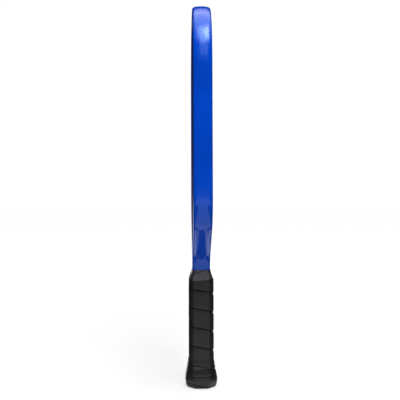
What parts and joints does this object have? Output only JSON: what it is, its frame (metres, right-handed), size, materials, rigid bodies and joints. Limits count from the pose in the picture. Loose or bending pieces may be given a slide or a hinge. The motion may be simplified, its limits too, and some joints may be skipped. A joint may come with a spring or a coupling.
{
  "type": "pickleball paddle",
  "caption": "Pickleball paddle: flat honeycomb-cored hitting panel with a rounded edge guard, a wrapped octagonal handle and a flared butt end.",
  "frame": {"origin": "bottom centre of the flat butt end, on the paddle's centre line and in the middle of its thickness", "axes": "+Z along the handle to the top of the head; X across the width of the head; +Y through the thickness to the back face, so the front face looks along -Y"},
  "size_m": [0.2, 0.0344, 0.4064],
  "materials": {
    "guard_blue": "glossy cobalt blue moulded guard",
    "carbon_face": "matte black woven carbon sheet in resin",
    "grip_black": "matte charcoal synthetic-leather cushion wrap",
    "tape_black": "satin blue-grey finishing tape",
    "cap_black": "fine-textured black moulded cap",
    "badge_black": "smooth blank badge",
    "staple_steel": "zinc-plated wire",
    "honeycomb_plastic": "translucent grey-white polymer cells",
    "foam": "cream rigid foam",
    "pallet_foam": "dark grey rigid foam",
    "scrim_veil": "thin white non-woven veil",
    "adhesive_tape": "white double-sided tape"
  },
  "bodies": {
    "root": {"honeycomb_core": "honeycomb_plastic", "perimeter_foam": "foam", "handle_core": "foam", "front_core_scrim": "scrim_veil", "back_core_scrim": "scrim_veil", "front_face_sheet": "carbon_face", "back_face_sheet": "carbon_face", "edge_guard": "guard_blue", "edge_guard_tape": "adhesive_tape", "front_handle_pallet": "pallet_foam", "back_handle_pallet": "pallet_foam", "butt_cap": "cap_black", "end_badge": "badge_black", "cap_staple_1": "staple_steel", "cap_staple_2": "staple_steel", "cap_staple_3": "staple_steel", "cap_staple_4": "staple_steel", "cushion_grip": "grip_black", "finishing_tape": "tape_black"}
  },
  "joints": []
}
